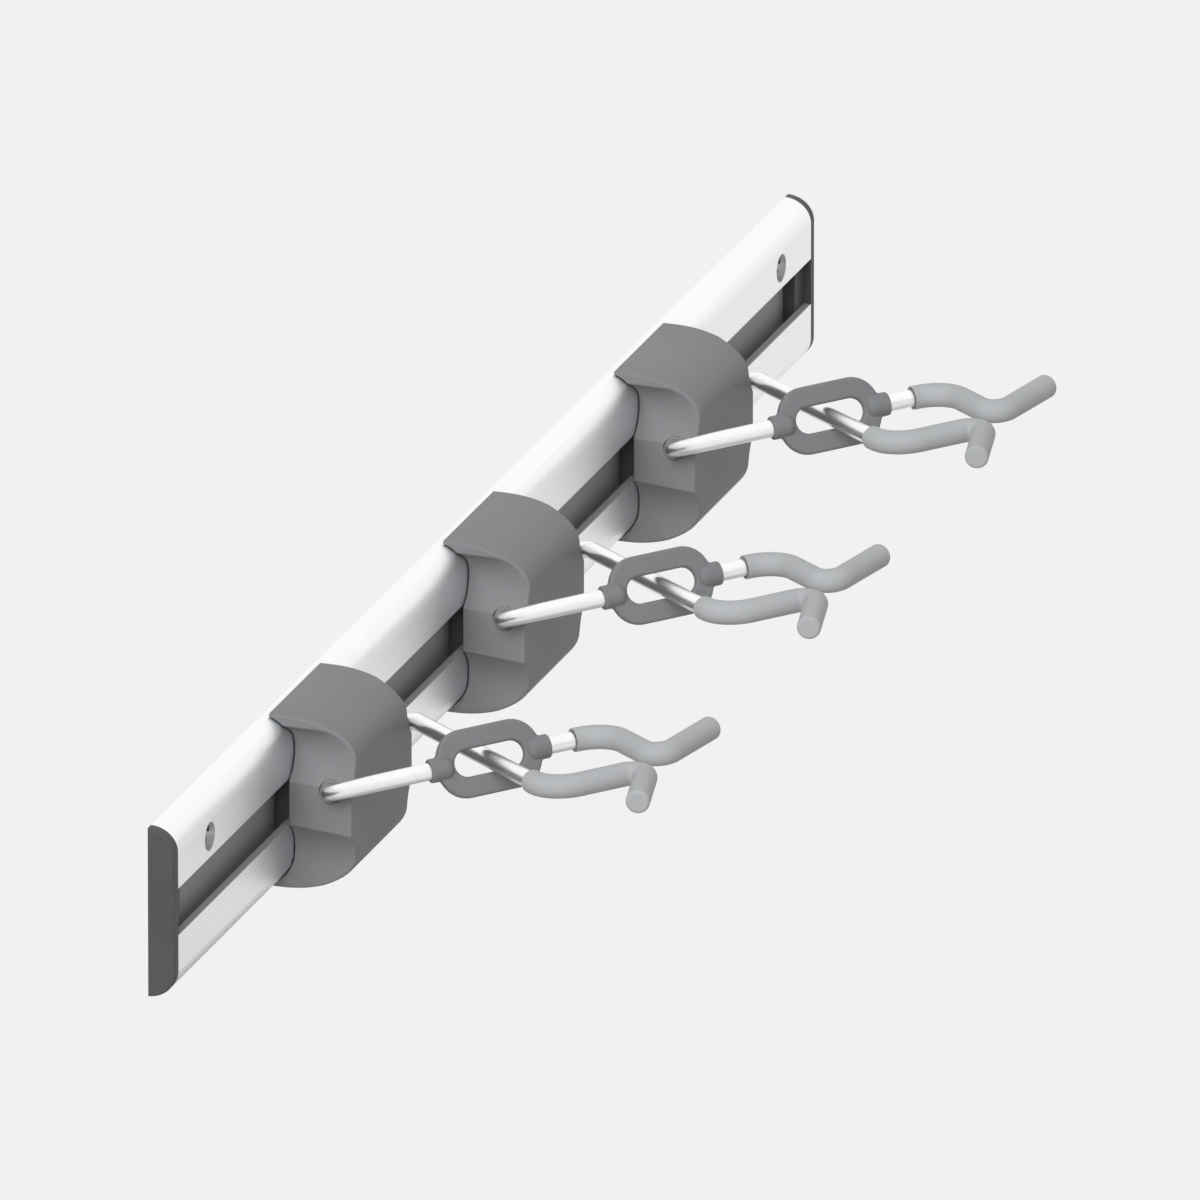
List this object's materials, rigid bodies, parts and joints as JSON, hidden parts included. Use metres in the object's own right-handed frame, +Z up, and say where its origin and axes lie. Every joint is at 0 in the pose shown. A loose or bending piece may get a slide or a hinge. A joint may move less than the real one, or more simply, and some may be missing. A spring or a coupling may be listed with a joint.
{
  "type": "tool holder rail",
  "caption": "Wall rail with sliding holders that grip tool handles between crossed wire arms.",
  "frame": {"origin": "middle of the rail's flat back face, which lies on the wall", "axes": "+X along the rail, +Y into the wall, +Z up"},
  "size_m": [0.5, 0.1063, 0.0464],
  "materials": {
    "anodised_aluminium": "satin anodised",
    "cap_plastic": "moulded, fine grain",
    "cover_plastic": "moulded, fine grain",
    "block_plastic": "moulded",
    "link_plastic": "moulded",
    "plated_wire": "bright zinc plate",
    "sleeve_rubber": "soft, matt",
    "screw_steel": "zinc plated"
  },
  "bodies": {
    "rail": {"rail": "anodised_aluminium", "end_cap_left": "cap_plastic", "end_cap_right": "cap_plastic"},
    "holder_1": {"holder_1_cover": "cover_plastic", "holder_1_slide_block": "block_plastic", "holder_1_screws": "screw_steel"},
    "left_arm_1": {"holder_1_left_rear_wire": "plated_wire", "holder_1_link_plate": "link_plastic", "holder_1_left_front_wire": "plated_wire", "holder_1_left_sleeve": "sleeve_rubber"},
    "right_arm_1": {"holder_1_right_wire": "plated_wire", "holder_1_right_sleeve": "sleeve_rubber"},
    "holder_2": {"holder_2_cover": "cover_plastic", "holder_2_slide_block": "block_plastic", "holder_2_screws": "screw_steel"},
    "left_arm_2": {"holder_2_left_rear_wire": "plated_wire", "holder_2_link_plate": "link_plastic", "holder_2_left_front_wire": "plated_wire", "holder_2_left_sleeve": "sleeve_rubber"},
    "right_arm_2": {"holder_2_right_wire": "plated_wire", "holder_2_right_sleeve": "sleeve_rubber"},
    "holder_3": {"holder_3_cover": "cover_plastic", "holder_3_slide_block": "block_plastic", "holder_3_screws": "screw_steel"},
    "left_arm_3": {"holder_3_left_rear_wire": "plated_wire", "holder_3_link_plate": "link_plastic", "holder_3_left_front_wire": "plated_wire", "holder_3_left_sleeve": "sleeve_rubber"},
    "right_arm_3": {"holder_3_right_wire": "plated_wire", "holder_3_right_sleeve": "sleeve_rubber"}
  },
  "joints": [
    {"name": "holder_1_slide", "type": "slide", "parent": "rail", "child": "holder_1", "axis": [1, 0, 0], "range_m": [-0.0808, 0.0749]},
    {"name": "left_arm_1_lift", "type": "hinge", "parent": "holder_1", "child": "left_arm_1", "pos_m": [-0.16602, -0.0192, 0.005], "axis": [-0.9703, 0, 0.2419], "range_deg": [0, 25]},
    {"name": "right_arm_1_lift", "type": "hinge", "parent": "holder_1", "child": "right_arm_1", "pos_m": [-0.12138, -0.0192, 0.005], "axis": [-0.9703, 0, -0.2419], "range_deg": [0, 25]},
    {"name": "holder_2_slide", "type": "slide", "parent": "rail", "child": "holder_2", "axis": [1, 0, 0], "range_m": [-0.0749, 0.0749]},
    {"name": "left_arm_2_lift", "type": "hinge", "parent": "holder_2", "child": "left_arm_2", "pos_m": [-0.03202, -0.0192, 0.005], "axis": [-0.9703, 0, 0.2419], "range_deg": [0, 25]},
    {"name": "right_arm_2_lift", "type": "hinge", "parent": "holder_2", "child": "right_arm_2", "pos_m": [0.01262, -0.0192, 0.005], "axis": [-0.9703, 0, -0.2419], "range_deg": [0, 25]},
    {"name": "holder_3_slide", "type": "slide", "parent": "rail", "child": "holder_3", "axis": [1, 0, 0], "range_m": [-0.0749, 0.1002]},
    {"name": "left_arm_3_lift", "type": "hinge", "parent": "holder_3", "child": "left_arm_3", "pos_m": [0.10198, -0.0192, 0.005], "axis": [-0.9703, 0, 0.2419], "range_deg": [0, 25]},
    {"name": "right_arm_3_lift", "type": "hinge", "parent": "holder_3", "child": "right_arm_3", "pos_m": [0.14662, -0.0192, 0.005], "axis": [-0.9703, 0, -0.2419], "range_deg": [0, 25]}
  ],
  "couplings": [
    {"joint": "right_arm_1_lift", "follows": "left_arm_1_lift", "ratio": 1},
    {"joint": "right_arm_2_lift", "follows": "left_arm_2_lift", "ratio": 1},
    {"joint": "right_arm_3_lift", "follows": "left_arm_3_lift", "ratio": 1}
  ]
}
